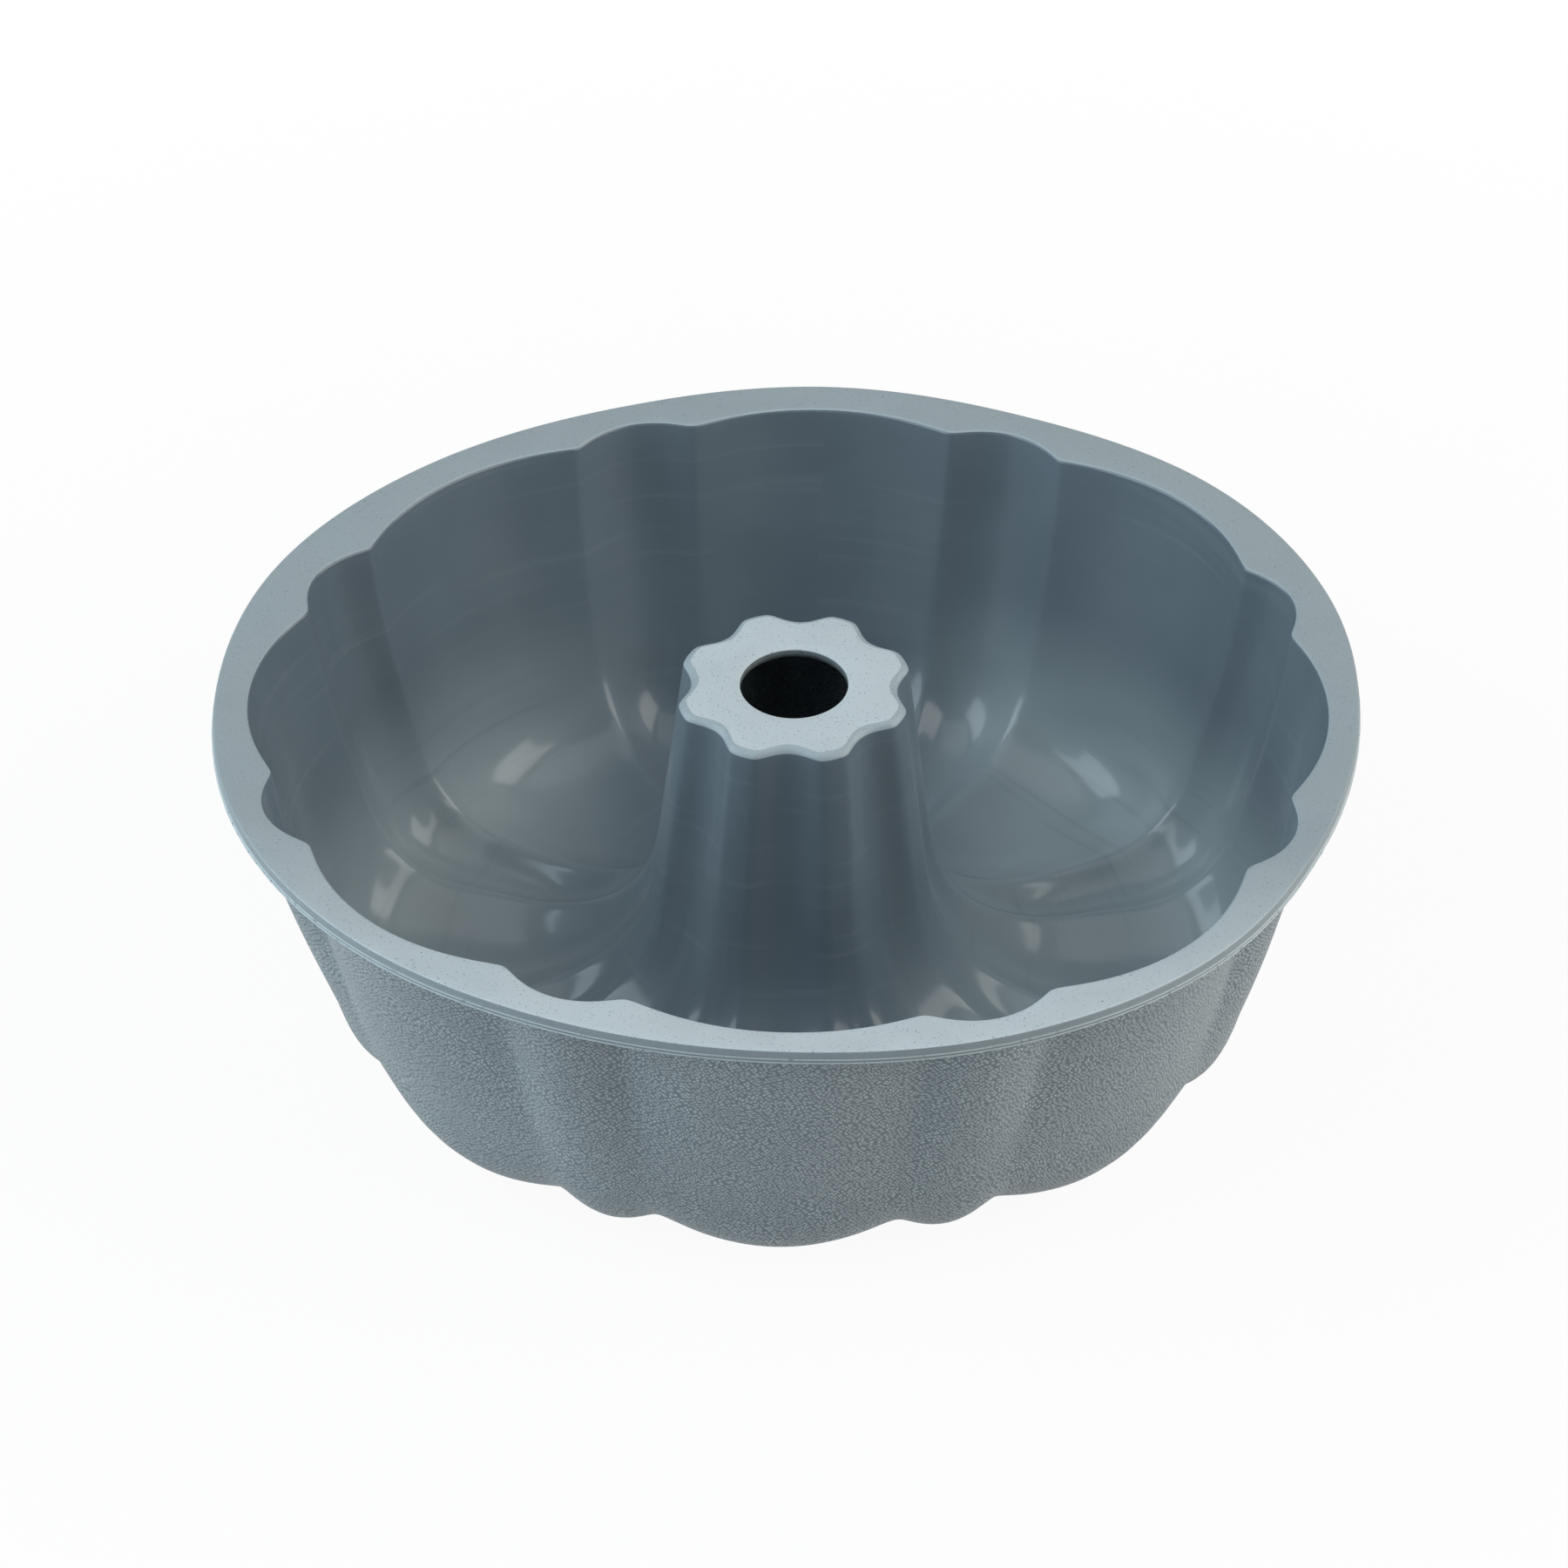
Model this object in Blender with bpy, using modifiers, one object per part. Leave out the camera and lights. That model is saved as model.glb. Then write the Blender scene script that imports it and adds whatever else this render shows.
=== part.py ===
"""A fluted ring-cake pan, moulded in one piece from silicone.

Metres, +Z up. The origin is on the surface that the pan stands on, under the middle of its tube.
A wide flute faces -Y. The cavity side of the pan is lofted as one open skin, from the hole in the
tube's top, down the tube, across the trough and up the wall to the edge of the flange. Solidify
then gives that skin its thickness, away from the cake.
"""

import math

import bmesh
import bpy

# Overall
FLUTE_PAIRS = 8
RIM_HEIGHT = 0.0806
TUBE_RISE_OVER_RIM = 0.0020

# Silicone thickness
WALL_THICKNESS = 0.0020
FLANGE_THICKNESS = 0.0032

# Tube, from the axis outward
HOLE_RADIUS = 0.0122
TOP_LAND_WIDTH = 0.0110
TUBE_FLUTE_DEPTH = 0.0039
TUBE_DRAFT = math.radians(7.7)

# Trough and wall, measured along the ridges between the flutes
TROUGH_INNER_RADIUS = 0.0360
TROUGH_FLOOR_WIDTH = 0.0147
TROUGH_OUTER_RADIUS = 0.0220
WALL_FOOT_DRAFT = math.radians(17)
WALL_MOUTH_DRAFT = math.radians(6)
FLANGE_WIDTH = 0.0086

# Flutes
WIDE_HALF_ANGLE = math.radians(15.6)
WIDE_MOUTH_DEPTH = 0.0054
WIDE_FOOT_DEPTH = 0.0030
WIDE_CORNER_DEPTH = 0.0072
WIDE_FLOOR_DEPTH = 0.0065
NARROW_MOUTH_DEPTH = 0.0053
NARROW_FOOT_DEPTH = 0.0032
NARROW_CORNER_DEPTH = 0.0057
NARROW_FLOOR_DEPTH = 0.0050
NARROW_TUBE_DEPTH = 0.0003
RIDGE_ROUNDING = 0.0016
FOOT_FLAT_DEPTH = 0.0003

# Edges
EDGE_BEVEL = 0.0006
BEVEL_FROM_ANGLE = math.radians(60)

# Steps of the loft
WIDE_SIDE_STEPS = 2
NARROW_STEPS = 3
TUBE_STEPS = 3
INNER_ARC_STEPS = 5
FLOOR_STEPS = 3
OUTER_ARC_STEPS = 4
WALL_STEPS = 3

# Surface: slate-grey silicone
SILICONE_COLOUR = (0.155, 0.205, 0.225, 1.0)
SILICONE_ROUGHNESS = 0.45

# Sizes that follow from the ones above
PITCH = 2 * math.pi / FLUTE_PAIRS
NARROW_HALF_ANGLE = PITCH / 2 - WIDE_HALF_ANGLE
TUBE_TOP = RIM_HEIGHT + TUBE_RISE_OVER_RIM
TUBE_RIDGE_RADIUS = HOLE_RADIUS + TOP_LAND_WIDTH + TUBE_FLUTE_DEPTH
FLOOR_RIDGE_HEIGHT = WALL_THICKNESS + WIDE_FLOOR_DEPTH - FOOT_FLAT_DEPTH
WIDE_DEPTHS = (
    WIDE_MOUTH_DEPTH,
    WIDE_FOOT_DEPTH,
    WIDE_CORNER_DEPTH,
    WIDE_FLOOR_DEPTH,
    TUBE_FLUTE_DEPTH,
)
NARROW_DEPTHS = (
    NARROW_MOUTH_DEPTH,
    NARROW_FOOT_DEPTH,
    NARROW_CORNER_DEPTH,
    NARROW_FLOOR_DEPTH,
    NARROW_TUBE_DEPTH,
)

# Places along a ridge, as quarter turns from the wall's foot: a flute swells out from the wall, down
# from the floor and in towards the tube's axis. Up the wall the count runs below 0, to the mouth.
AT_MOUTH = -1.0
AT_WALL_FOOT = 0.0
AT_FLOOR = 1.0
AT_TUBE = 2.0


def clear_scene():
    for item in list(bpy.data.objects):
        bpy.data.objects.remove(item, do_unlink=True)


def ease(x):
    """0 to 1 with a level start and finish."""
    return x * x * (3 - 2 * x)


def depth_at(turn, mouth, foot, corner, floor, tube):
    """A flute's depth, from the mouth down to the wall's foot, round to the floor and up the tube."""
    if turn <= AT_WALL_FOOT:
        return foot + (mouth - foot) * (AT_WALL_FOOT - turn)
    if turn <= AT_FLOOR:
        even = foot + (floor - foot) * ease(turn)
        return even + (corner - (foot + floor) / 2) * math.sin(math.pi * turn) ** 2
    return floor + (tube - floor) * ease(turn - AT_FLOOR)


def swell(angle, turn):
    """How far a flute stands out beyond the ridges at this angle from a wide flute's middle."""
    offset = (angle + PITCH / 2) % PITCH - PITCH / 2
    from_narrow = PITCH / 2 - abs(offset)
    wide = depth_at(turn, *WIDE_DEPTHS)
    narrow = depth_at(turn, *NARROW_DEPTHS)
    wide *= 1 - (offset / WIDE_HALF_ANGLE) ** 2
    narrow *= 1 - (from_narrow / NARROW_HALF_ANGLE) ** 2
    return (wide + narrow + math.hypot(wide - narrow, RIDGE_ROUNDING)) / 2


def loft_angles():
    """Angles round the pan for all the flutes. The first step of a wide flute is half its foot."""
    foot = WIDE_HALF_ANGLE * math.sqrt(FOOT_FLAT_DEPTH / WIDE_FLOOR_DEPTH)
    side = WIDE_HALF_ANGLE - foot
    half = [0.0]
    half += [foot + side * i / WIDE_SIDE_STEPS for i in range(WIDE_SIDE_STEPS)]
    half += [WIDE_HALF_ANGLE + NARROW_HALF_ANGLE * i / NARROW_STEPS for i in range(NARROW_STEPS)]
    pair = half + [PITCH / 2] + [PITCH - angle for angle in reversed(half[1:])]
    return [flute * PITCH + angle for flute in range(FLUTE_PAIRS) for angle in pair]


def ridge_line():
    """The section along a ridge, as (radius, height, turn), from the tube's top to the mouth."""
    tube_slope = math.tan(TUBE_DRAFT)
    arc_height = FLOOR_RIDGE_HEIGHT + TROUGH_INNER_RADIUS
    arc_centre = (
        TUBE_RIDGE_RADIUS
        + (TUBE_TOP - arc_height) * tube_slope
        + TROUGH_INNER_RADIUS / math.cos(TUBE_DRAFT)
    )
    tube_foot = arc_height - TROUGH_INNER_RADIUS * math.sin(TUBE_DRAFT)
    line = []
    for step in range(TUBE_STEPS):
        height = TUBE_TOP + (tube_foot - TUBE_TOP) * step / TUBE_STEPS
        radius = TUBE_RIDGE_RADIUS + (TUBE_TOP - height) * tube_slope
        line.append((radius, height, AT_TUBE))
    for step in range(INNER_ARC_STEPS + 1):
        share = step / INNER_ARC_STEPS
        angle = math.pi + TUBE_DRAFT + share * (math.pi / 2 - TUBE_DRAFT)
        radius = arc_centre + TROUGH_INNER_RADIUS * math.cos(angle)
        height = arc_height + TROUGH_INNER_RADIUS * math.sin(angle)
        line.append((radius, height, AT_TUBE - share))
    for step in range(1, FLOOR_STEPS):
        radius = arc_centre + TROUGH_FLOOR_WIDTH * step / FLOOR_STEPS
        line.append((radius, FLOOR_RIDGE_HEIGHT, AT_FLOOR))
    arc_centre += TROUGH_FLOOR_WIDTH
    arc_height = FLOOR_RIDGE_HEIGHT + TROUGH_OUTER_RADIUS
    for step in range(OUTER_ARC_STEPS + 1):
        share = step / OUTER_ARC_STEPS
        angle = -math.pi / 2 + share * (math.pi / 2 - WALL_FOOT_DRAFT)
        radius = arc_centre + TROUGH_OUTER_RADIUS * math.cos(angle)
        height = arc_height + TROUGH_OUTER_RADIUS * math.sin(angle)
        line.append((radius, height, AT_FLOOR - share))
    wall_foot_radius, wall_foot, _ = line[-1]
    foot_slope = math.tan(WALL_FOOT_DRAFT)
    straightening = math.tan(WALL_MOUTH_DRAFT) - foot_slope
    for step in range(1, WALL_STEPS + 1):
        share = step / WALL_STEPS
        rise = (RIM_HEIGHT - wall_foot) * share
        radius = wall_foot_radius + rise * (foot_slope + straightening * share / 2)
        line.append((radius, wall_foot + rise, AT_MOUTH * share))
    return line


def fluted_ring(radius, height, turn, angles):
    """One ring of the cavity skin. The floor is level where it would go under the foot plane."""
    direction = max(turn, AT_WALL_FOOT) * math.pi / 2
    points = []
    for angle in angles:
        out = swell(angle, turn)
        r = radius + out * math.cos(direction)
        z = max(height - out * math.sin(direction), WALL_THICKNESS)
        points.append((r * math.sin(angle), -r * math.cos(angle), z))
    return points


def plain_ring(radius, height, angles):
    return [(radius * math.sin(angle), -radius * math.cos(angle), height) for angle in angles]


def loft(rings, name):
    """An open mesh through rings of equal count, its faces turned towards the cake."""
    bm = bmesh.new()
    rows = [[bm.verts.new(point) for point in ring] for ring in rings]
    for inner, outer in zip(rows, rows[1:]):
        for i in range(len(inner)):
            j = (i + 1) % len(inner)
            bm.faces.new((inner[i], outer[i], outer[j], inner[j]))
    mesh = bpy.data.meshes.new(name)
    bm.to_mesh(mesh)
    bm.free()
    mesh.shade_smooth()
    mesh.set_sharp_from_angle(angle=BEVEL_FROM_ANGLE)
    return mesh


def silicone():
    material = bpy.data.materials.new("silicone")
    material.use_nodes = True
    shader = material.node_tree.nodes["Principled BSDF"]
    shader.inputs["Base Color"].default_value = SILICONE_COLOUR
    shader.inputs["Roughness"].default_value = SILICONE_ROUGHNESS
    shader.inputs["Metallic"].default_value = 0.0
    return material


def build_pan(collection):
    angles = loft_angles()
    line = ridge_line()
    mouth_radius = line[-1][0]
    flange_radius = mouth_radius + WIDE_MOUTH_DEPTH + FLANGE_WIDTH
    rings = [plain_ring(HOLE_RADIUS, TUBE_TOP, angles)]
    rings += [fluted_ring(*station, angles) for station in line]
    rings.append(plain_ring(flange_radius, RIM_HEIGHT, angles))
    pan = bpy.data.objects.new("silicone_pan", loft(rings, "silicone_pan"))
    collection.objects.link(pan)
    pan.data.materials.append(silicone())

    flange = pan.vertex_groups.new(name="flange")
    count = len(angles)
    total = count * len(rings)
    flange.add(range(total - 2 * count, total), 1.0, "REPLACE")

    shell = pan.modifiers.new("shell", "SOLIDIFY")
    shell.thickness = FLANGE_THICKNESS
    shell.offset = -1
    shell.use_even_offset = True
    shell.use_quality_normals = True
    shell.vertex_group = flange.name
    shell.thickness_vertex_group = WALL_THICKNESS / FLANGE_THICKNESS

    edges = pan.modifiers.new("edges", "BEVEL")
    edges.width = EDGE_BEVEL
    edges.segments = 1
    edges.limit_method = "ANGLE"
    edges.angle_limit = BEVEL_FROM_ANGLE
    return pan


def main():
    clear_scene()
    collection = bpy.data.collections.new("cake_pan")
    bpy.context.scene.collection.children.link(collection)
    build_pan(collection)


main()
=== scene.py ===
import math

import bpy
import numpy as np
from mathutils import Matrix, Vector


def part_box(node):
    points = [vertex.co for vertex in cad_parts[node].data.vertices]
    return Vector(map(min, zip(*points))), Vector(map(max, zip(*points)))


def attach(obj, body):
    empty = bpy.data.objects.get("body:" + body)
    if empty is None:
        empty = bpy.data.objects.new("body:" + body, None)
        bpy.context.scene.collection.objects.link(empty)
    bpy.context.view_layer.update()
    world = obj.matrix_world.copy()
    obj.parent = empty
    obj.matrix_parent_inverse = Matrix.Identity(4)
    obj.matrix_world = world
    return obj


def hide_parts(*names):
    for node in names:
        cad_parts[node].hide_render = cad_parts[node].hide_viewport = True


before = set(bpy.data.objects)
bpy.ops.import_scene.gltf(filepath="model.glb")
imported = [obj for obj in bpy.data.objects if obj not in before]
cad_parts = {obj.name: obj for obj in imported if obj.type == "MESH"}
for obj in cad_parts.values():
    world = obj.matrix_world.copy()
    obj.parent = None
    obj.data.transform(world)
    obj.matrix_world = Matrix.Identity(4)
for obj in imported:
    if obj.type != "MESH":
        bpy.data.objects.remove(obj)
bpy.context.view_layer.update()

# Sizes that the frame gives
_, PAN_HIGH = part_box("silicone_pan")
FLANGE_RADIUS = PAN_HIGH.x
TUBE_TOP = PAN_HIGH.z

# Sizes of the pan, in metres, as it is moulded
MILLIMETRE = 0.001
TUBE_OVER_RIM = 0.0020
RIM_HEIGHT = TUBE_TOP - TUBE_OVER_RIM
WALL_THICKNESS = 0.0020
FLANGE_THICKNESS = 0.0032
HOLE_RADIUS = 0.0122
TUBE_FLUTE_DEPTH = 0.0039
TUBE_RIDGE_RADIUS = 0.0271
TUBE_DRAFT = math.radians(7.7)
TROUGH_INNER_RADIUS = 0.0360
TROUGH_FLOOR_WIDTH = 0.0147
TROUGH_OUTER_RADIUS = 0.0220
WALL_FOOT_DRAFT = math.radians(17)
WALL_MOUTH_DRAFT = math.radians(6)
FOOT_FLAT_DEPTH = 0.0003
FOOT_SOFTNESS = 0.0001

# The wall thickens towards the flange over the top one of this many parts of its height
HEIGHT_PARTS = 3

# The flutes: their width, and their depths at the mouth, at the wall's foot, at the corner below it,
# on the floor and on the tube
FLUTE_PAIRS = 8
PITCH = 2 * math.pi / FLUTE_PAIRS
WIDE_HALF_ANGLE = math.radians(15.6)
NARROW_HALF_ANGLE = PITCH / 2 - WIDE_HALF_ANGLE
WIDE_FLOOR_DEPTH = 0.0065
WIDE_DEPTHS = (0.0054, 0.0030, 0.0072, WIDE_FLOOR_DEPTH, TUBE_FLUTE_DEPTH)
NARROW_DEPTHS = (0.0053, 0.0032, 0.0057, 0.0050, 0.0003)
FLOOR_RIDGE_HEIGHT = WALL_THICKNESS + WIDE_FLOOR_DEPTH - FOOT_FLAT_DEPTH

# How round the ridges between the flutes are inside, and the creases between them outside
RIDGE_ROUNDING = 0.0016
FLOOR_RIDGE_ROUNDING = 0.0034
TUBE_FOOT_RIDGE_ROUNDING = 0.0060
CREASE_ROUNDING = 0.0012

# How far the outer creases are filled, and the wide flutes are wider, at the corner below the wall
CORNER_CREASE_FILL = 0.0022
CORNER_WIDENING = math.radians(0.5)

# Rounded edges
TUBE_EDGE_RADIUS = 0.0019
MOUTH_EDGE_RADIUS = 0.0010
FLANGE_EDGE_RADIUS = 0.0007
HOLE_EDGE_RADIUS = 0.0003
UNDER_FLANGE_FILLET = 0.0015
UNDER_LAND_FILLET = 0.0010

# The parting line: two fine lines of flash below the smooth band of the flange's edge
SMOOTH_BAND = 0.0021
FLASH_LINES = 2
FLASH_HEIGHT = 0.00032
FLASH_WIDTH = 0.00040
FLASH_SPACING = 0.00085
FLASH_RAGGEDNESS = 0.2
FLASH_WAVES = (23, 61, 97, 151, 212)
LOWER_CORNER_RADIUS = FLANGE_RADIUS - FLASH_WIDTH / 2

# Places along a ridge, in quarter turns from the wall's foot: a flute swells out from the wall,
# down from the floor and in towards the tube's axis. Up the wall it runs below 0, to the mouth.
AT_MOUTH = -1.0
AT_WALL_FOOT = 0.0
AT_FLOOR = 1.0
AT_TUBE = 2.0
CORNER_MIDDLE = 0.6
CORNER_REACH = 1.2
TUBE_FOOT_MIDDLE = 1.5
TUBE_FOOT_REACH = 0.5

# Rows and columns of the mesh
WIDE_COLUMNS = 17
NARROW_COLUMNS = 10
RIDGE_CROWDING = 1.45
HOLE_EDGE_ROWS = 4
LAND_ROWS = 5
TUBE_ROWS = 18
INNER_ARC_ROWS = 22
FLOOR_ROWS = 6
OUTER_ARC_ROWS = 18
WALL_ROWS = 18
EDGE_ROWS = 6
HALF_EDGE_ROWS = 3
ROUNDED_ROWS = 4

# How the soft mouth has settled, in millimetres, at every 22.5 degrees from the front round by the
# right: how far its edge stands out, how far the flange's outer edge does, its height and its shift
# round the pan, all four from a fit to the photograph's outlines, and the shift of the wall's foot
SETTLED_MOUTH = (
    -0.6, 2.1, 1.8, -0.4, -0.8, 0.6, 1.2, 1.0,
    0.9, 0.5, -0.2, -0.1, 0.7, 1.2, -0.1, -1.8,
)
SETTLED_EDGE = (
    -1.4, 0.9, 1.0, -2.4, -2.4, 0.5, 2.4, 0.6,
    2.2, -0.4, 0.4, 1.4, -0.2, -0.4, -0.8, -2.0,
)
SETTLED_HEIGHT = (
    -0.9, -1.5, -2.2, -2.3, -1.9, -1.3, -1.2, -1.3,
    -1.5, -1.5, -1.5, -1.7, -1.9, -1.7, -1.2, -0.8,
)
SETTLED_TURN = (
    2.9, 2.3, 1.0, -0.4, -1.1, -1.1, -1.1, -1.4,
    -1.8, -1.4, -0.2, 1.2, 2.1, 2.4, 2.5, 2.8,
)
SETTLED_FOOT_TURN = (
    1.8, -0.2, -2.0, -1.0, 0, 0, 0, 0,
    0, 0, 0, 0, 1.0, 3.4, 5.5, 4.4,
)

# Where the mouth's settling begins and the foot's ends, and how far the flange's edge is raised
SETTLED_FROM = 0.022
SETTLED_OUTSIDE = 0.060
FOOT_TURN_RADII = (0.080, 0.095)
FOOT_TURN_HEIGHTS = (0.020, 0.070)
FLANGE_DISH = 0.0008

# How far the foot stands off the middle of the mouth
FOOT_SHIFT = (0.0005, -0.0008)

# How the tube's soft top has settled: it leans towards the front and stands a little off the middle
TUBE_LEAN = math.radians(4.2)
TUBE_SHIFT = (0.0008, 0.0005)
TUBE_SETTLED_FROM = 0.030
TUBE_SETTLED_WITHIN = 0.045

# The finishes, in the order of their materials: a row gives its own to the faces up to the next row
MATT = 0
GLOSS = 1
GRAIN = 2
EDGE = 3
FLASH = 4
ROUNDED = 5
TUBE_MATT = 6

# Silicone's colours, by finish
MATT_COLOUR = (0.385, 0.440, 0.466, 1)
# Painted light: the paler colour of the matt faces at the front, where the light falls strongest
MATT_PAINTED_LIGHT_COLOUR = (0.610, 0.675, 0.705, 1)
MATT_SPECK_COLOUR = (0.200, 0.245, 0.270, 1)
MATT_LIGHT_COLOUR = (0.500, 0.570, 0.600, 1)
ROUNDED_COLOUR = (0.400, 0.470, 0.500, 1)
GLOSS_COLOUR = (0.155, 0.198, 0.232, 1)
GLOSS_DARK_COLOUR = (0.138, 0.178, 0.210, 1)
# Paler flecks in the cavity, and the pale of its painted highlight rings
GLOSS_FLECK_AND_PAINTED_STREAK_COLOUR = (0.210, 0.260, 0.290, 1)
# Painted sheen: the paler colour low at the sides of the cavity
GLOSS_PAINTED_SHEEN_COLOUR = (0.355, 0.425, 0.452, 1)
GRAIN_COLOUR = (0.220, 0.260, 0.280, 1)
# Painted highlight on the pebbles' tops, and painted shade in the gaps between them, also the colour
# of darker clouds
GRAIN_PAINTED_HIGHLIGHT_COLOUR = (0.460, 0.520, 0.545, 1)
GRAIN_PAINTED_SHADE_AND_CLOUD_COLOUR = (0.155, 0.188, 0.206, 1)
EDGE_COLOUR = (0.250, 0.295, 0.318, 1)
FLASH_COLOUR = (0.520, 0.590, 0.610, 1)
SILICONE_IOR = 1.41

# Radius at which the texture coordinates, in metres round the pan and along its section, are true
GRAIN_RADIUS = 0.110

# Where the painted light on the flange and on the tube's top fades, from the front to the back: a
# paler colour at the front stands in for the light that falls strongest there
FLANGE_PAINTED_LIGHT_FADE = (-0.120, -0.040)
TUBE_PAINTED_LIGHT_FADE = (0.020, 0.120)

# Where the painted sheen in the cavity begins and is whole: a paler colour for the lamps' broad
# sheen on the floor, to both sides of a middle that is left of the pan's, and down to the floor
PAINTED_SHEEN_MIDDLE = -0.009
PAINTED_SHEEN_SIDES = (0.022, 0.070)
PAINTED_SHEEN_HEIGHTS = (0.045, 0.008)

# Numbers of the finishes. A NOISE has the size of its largest lumps, in metres, and its detail. A
# RANGE has the values of its noise or pebble where a mark begins and where it is whole, and then
# what it gives there, if that isn't 0 and 1. A DEPTH is a bump's, in metres.
MATT_SPECK_NOISE = (0.0005, 3)
MATT_SPECK_RANGE = (0.62, 0.72)
MATT_LIGHT_RANGE = (0.36, 0.26, 0.0, 0.4)
MATT_CLOUD_NOISE = (0.018, 3)
MATT_CLOUD_RANGE = (0.35, 0.75, 0.0, 0.12)
MATT_ROUGHNESS_RANGE = (0.3, 0.7, 0.42, 0.50)
MATT_BUMP_NOISE = (0.00045, 2)
MATT_BUMP_DEPTH = 0.00003

GLOSS_CLOUD_NOISE = (0.030, 4)
GLOSS_CLOUD_RANGE = (0.3, 0.7)
GLOSS_FLECK_NOISE = (0.0011, 2)
GLOSS_FLECK_RANGE = (0.74, 0.80, 0.0, 0.5)
GLOSS_STREAK_NOISE = (0.0030, 3)
GLOSS_STREAK_STRETCH = (0.03, 1, 1)
GLOSS_PAINTED_STREAK_RANGE = (0.55, 0.75, 0.0, 0.35)
GLOSS_STREAK_DEPTH = 0.00002
GLOSS_RUBBED_NOISE = (0.012, 5)
GLOSS_ROUGHNESS_RANGE = (0.35, 0.75, 0.36, 0.44)
GLOSS_WAVE_NOISE = (0.022, 1)
GLOSS_WAVE_DEPTH = 0.00030
GLOSS_FINE_NOISE = (0.0009, 2)
GLOSS_FINE_DEPTH = 0.000003
GLOSS_COAT_WEIGHT = 0.75
GLOSS_COAT_ROUGHNESS = 0.14

PEBBLE_SIZE = 0.00085
PEBBLE_RANDOMNESS = 0.55
PEBBLE_ROWS_TURN = math.radians(35)
PEBBLE_WANDER_SIZE = 0.012
PEBBLE_WANDER_REACH = 0.0030
GRAIN_PAINTED_SHADE_RANGE = (0.40, 0.62)
GRAIN_TONE_NOISE = (0.0020, 2)
GRAIN_TONE_RANGE = (0.35, 0.70, 0.0, 0.6)
GRAIN_PAINTED_HIGHLIGHT_RANGE = (0.36, 0.16)
GRAIN_CLOUD_NOISE = (0.025, 3)
GRAIN_CLOUD_RANGE = (0.3, 0.7, 0.0, 0.15)
GRAIN_ROUGHNESS_RANGE = (0.2, 0.6, 0.44, 0.58)
GRAIN_BUMP_RANGE = (0.60, 0.05)
GRAIN_BUMP_DEPTH = 0.00009

ROUNDED_SPECK_NOISE = (0.0006, 3)
ROUNDED_SPECK_RANGE = (0.60, 0.72)
ROUNDED_ROUGHNESS_RANGE = (0.3, 0.7, 0.24, 0.34)
ROUNDED_BUMP_NOISE = (0.0012, 2)
ROUNDED_BUMP_DEPTH = 0.00005

EDGE_SPECK_NOISE = (0.0006, 3)
EDGE_SPECK_RANGE = (0.60, 0.74, 0.0, 0.6)
EDGE_CLOUD_NOISE = (0.010, 3)
EDGE_CLOUD_RANGE = (0.4, 0.8, 0.0, 0.2)
EDGE_ROUGHNESS_RANGE = (0.3, 0.7, 0.36, 0.46)
EDGE_BUMP_NOISE = (0.0005, 2)
EDGE_BUMP_DEPTH = 0.00002

FLASH_TORN_NOISE = (0.0012, 3)
FLASH_TORN_RANGE = (0.58, 0.72)
FLASH_ROUGHNESS_RANGE = (0.3, 0.7, 0.45, 0.55)
FLASH_BUMP_NOISE = (0.0004, 2)
FLASH_BUMP_DEPTH = 0.00003

# Camera: the photograph's viewing angle
CAMERA_DISTANCE = 1.1888
CAMERA_ELEVATION = math.radians(34.96)
CAMERA_AZIMUTH = math.radians(3.25)
CAMERA_PAN = math.radians(0.07)
CAMERA_TILT = math.radians(-1.0)
CAMERA_ROLL = math.radians(-0.3)
SENSOR_WIDTH = 36.0
LENS = 121.34

# Light: a broad soft box on each side, and a weaker one overhead. Angles are in degrees.
LIGHT_DISTANCE = 1.3
RIGHT_LIGHT = {
    "azimuth": 84,
    "elevation": 27,
    "size": (1.60, 1.45),
    "radiance": 2.25,
    "colour": (1.0, 0.99, 0.96),
}
LEFT_LIGHT = {
    "azimuth": -77,
    "elevation": 27,
    "size": (1.60, 1.45),
    "radiance": 2.6,
    "colour": (0.80, 0.93, 1.0),
}
OVERHEAD_LIGHT = {
    "azimuth": 180,
    "elevation": 88,
    "size": (1.20, 1.40),
    "radiance": 0.65,
    "colour": (0.96, 0.99, 1.0),
}
WORLD_COLOUR = (0.050, 0.055, 0.060, 1)
WHITE = (1, 1, 1, 1)

# Floor: lit under the pan, mostly plain white round it, where a faint shadow is left, and wholly so
# far from it. A RANGE is as in the finishes, by the distance from the floor's middle.
FLOOR_SIZE = 6.0
FLOOR_CLEARANCE = 0.0002
FLOOR_COLOUR = (0.82, 0.82, 0.82, 1)
FLOOR_ROUGHNESS = 0.9
UNDER_PAN_RANGE = (0.045, 0.070)
ROUND_PAN_RANGE = (0.180, 0.500, 0.94, 1.0)


def ease(x):
    """0 to 1 with a level start and finish."""
    x = np.clip(x, 0, 1)
    return x * x * (3 - 2 * x)


def columns():
    """Angles of the mesh's columns, closest together at the ridges between the flutes."""
    u = np.arange(WIDE_COLUMNS) / WIDE_COLUMNS
    wide = WIDE_HALF_ANGLE * (1 - (1 - u) ** RIDGE_CROWDING)
    u = np.arange(NARROW_COLUMNS + 1) / NARROW_COLUMNS
    narrow = WIDE_HALF_ANGLE + NARROW_HALF_ANGLE * u**RIDGE_CROWDING
    half = np.concatenate([wide, narrow])
    pair = np.concatenate([half, PITCH - half[-2:0:-1]])
    return (np.arange(FLUTE_PAIRS)[:, None] * PITCH + pair).ravel()


def depth_at(turn, mouth, foot, corner, floor, tube):
    """A flute's depth at this place along the ridge, from its depths at five places."""
    depth = foot + (mouth - foot) * np.clip(-turn, 0, 1)
    depth = depth + (floor - foot) * ease(turn) + (tube - floor) * ease(turn - AT_FLOOR)
    return depth + (corner - (foot + floor) / 2) * np.sin(math.pi * np.clip(turn, 0, 1)) ** 2


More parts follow.
